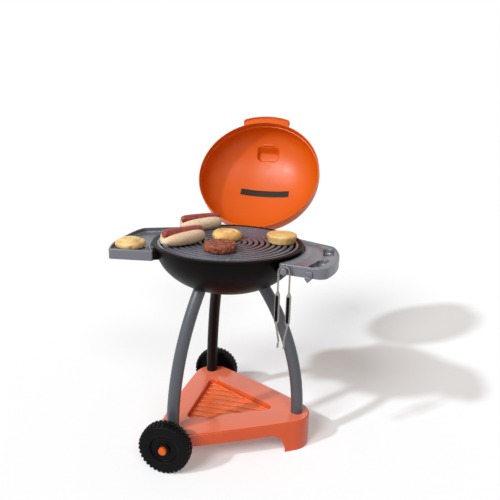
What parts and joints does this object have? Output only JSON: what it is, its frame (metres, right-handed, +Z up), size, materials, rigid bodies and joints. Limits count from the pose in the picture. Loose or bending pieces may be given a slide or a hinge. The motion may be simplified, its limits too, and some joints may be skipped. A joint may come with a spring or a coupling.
{
  "type": "toy barbecue grill",
  "caption": "Toy kettle barbecue on three curved legs with a base shelf, wheels, a hinged domed lid, a grate, side trays, hanging tongs and play food.",
  "frame": {"origin": "middle of the bounding box with the lid open, on the floor", "axes": "+Z up, +X to the right of a child who stands at the grill, +Y towards the lid's hinge at the back"},
  "size_m": [0.578, 0.7426, 0.8508],
  "materials": {
    "black_plastic": "glossy moulded plastic",
    "orange_plastic": "glossy moulded plastic",
    "grey_plastic": "satin moulded plastic",
    "leg_grey": "satin tube",
    "leg_black": "glossy tube",
    "grate_grey": "satin moulded plastic",
    "strip_dark": "matte plate",
    "steel": "plain steel",
    "silver_plastic": "silver coloured plastic",
    "bun_tan": "soft matte plastic",
    "roll_tan": "soft matte plastic",
    "sausage_red": "satin plastic",
    "patty_brown": "rough matte plastic"
  },
  "bodies": {
    "stand": {"base_shelf": "orange_plastic", "leg_front_left": "leg_grey", "leg_rear_left": "leg_black", "leg_right": "leg_grey", "axle": "steel", "hub_cap_front": "orange_plastic", "hub_cap_rear": "orange_plastic", "axle_washer_front": "black_plastic", "axle_washer_rear": "black_plastic", "fire_bowl": "black_plastic", "hinge_pin_left": "steel", "hinge_pin_right": "steel", "side_tray_left": "grey_plastic", "side_tray_right": "grey_plastic", "tray_screw_right_front": "steel", "tray_screw_right_rear": "steel", "tray_screw_left_front": "steel", "tray_screw_left_rear": "steel", "tool_peg": "grey_plastic", "tool_hook": "grey_plastic"},
    "lid": {"lid_dome": "orange_plastic", "lid_handle": "orange_plastic", "lid_strip": "strip_dark", "hinge_arm_left": "orange_plastic", "hinge_arm_right": "orange_plastic"},
    "front_wheel": {"wheel_front": "black_plastic"},
    "rear_wheel": {"wheel_rear": "black_plastic"},
    "grate": {"cooking_grate": "grate_grey"},
    "front_roll": {"hot_dog_roll_front": "roll_tan"},
    "front_sausage": {"sausage_front": "sausage_red"},
    "rear_roll": {"hot_dog_roll_rear": "roll_tan"},
    "rear_sausage": {"sausage_rear": "sausage_red"},
    "middle_bun": {"bun_middle": "bun_tan"},
    "right_bun": {"bun_right": "bun_tan"},
    "left_bun": {"bun_left": "bun_tan"},
    "patty": {"burger_patty": "patty_brown"},
    "tongs": {"tongs_bow": "silver_plastic"},
    "tongs_left": {"tongs_arm_left": "silver_plastic", "tongs_grip_left": "black_plastic"},
    "tongs_right": {"tongs_arm_right": "silver_plastic", "tongs_grip_right": "black_plastic"}
  },
  "joints": [
    {"name": "lid_hinge", "type": "hinge", "parent": "stand", "child": "lid", "pos_m": [0, 0.07164, 0.538], "axis": [-1, 0, 0], "range_deg": [-128.4, 0]},
    {"name": "front_wheel_spin", "type": "hinge", "parent": "stand", "child": "front_wheel", "pos_m": [-0.0895, -0.34696, 0.0675], "axis": [0, 1, 0], "continuous": true},
    {"name": "rear_wheel_spin", "type": "hinge", "parent": "stand", "child": "rear_wheel", "pos_m": [-0.0895, 0.09424, 0.0675], "axis": [0, 1, 0], "continuous": true},
    {"name": "grate_lift", "type": "slide", "parent": "stand", "child": "grate", "axis": [0, 0, 1], "range_m": [0, 0.3]},
    {"name": "front_roll_lift", "type": "slide", "parent": "grate", "child": "front_roll", "axis": [0, 0, 1], "range_m": [0, 0.1]},
    {"name": "front_sausage_lift", "type": "slide", "parent": "front_roll", "child": "front_sausage", "axis": [0, 0, 1], "range_m": [0, 0.06]},
    {"name": "rear_roll_lift", "type": "slide", "parent": "grate", "child": "rear_roll", "axis": [0, 0, 1], "range_m": [0, 0.1]},
    {"name": "rear_sausage_lift", "type": "slide", "parent": "rear_roll", "child": "rear_sausage", "axis": [0, 0, 1], "range_m": [0, 0.06]},
    {"name": "middle_bun_lift", "type": "slide", "parent": "grate", "child": "middle_bun", "axis": [0, 0, 1], "range_m": [0, 0.1]},
    {"name": "right_bun_lift", "type": "slide", "parent": "grate", "child": "right_bun", "axis": [0, 0, 1], "range_m": [0, 0.1]},
    {"name": "left_bun_lift", "type": "slide", "parent": "stand", "child": "left_bun", "axis": [0, 0, 1], "range_m": [0, 0.1]},
    {"name": "patty_lift", "type": "slide", "parent": "grate", "child": "patty", "axis": [0, 0, 1], "range_m": [0, 0.1]},
    {"name": "tongs_swing", "type": "hinge", "parent": "stand", "child": "tongs", "pos_m": [0.17449, -0.25426, 0.52635], "axis": [-0.1478, -0.989, 0], "range_deg": [-25, 25]},
    {"name": "tongs_left_pinch", "type": "hinge", "parent": "tongs", "child": "tongs_left", "pos_m": [0.15917, -0.26208, 0.51053], "axis": [-0.1478, -0.989, 0], "range_deg": [0, 1.5], "stiffness_Nm_per_rad": 0.6, "springref_deg": -2.86},
    {"name": "tongs_right_pinch", "type": "hinge", "parent": "tongs", "child": "tongs_right", "pos_m": [0.18686, -0.26621, 0.51053], "axis": [-0.1478, -0.989, 0], "range_deg": [-1.5, 0], "stiffness_Nm_per_rad": 0.6, "springref_deg": 2.86}
  ],
  "couplings": [
    {"joint": "tongs_right_pinch", "follows": "tongs_left_pinch", "ratio": -1}
  ]
}
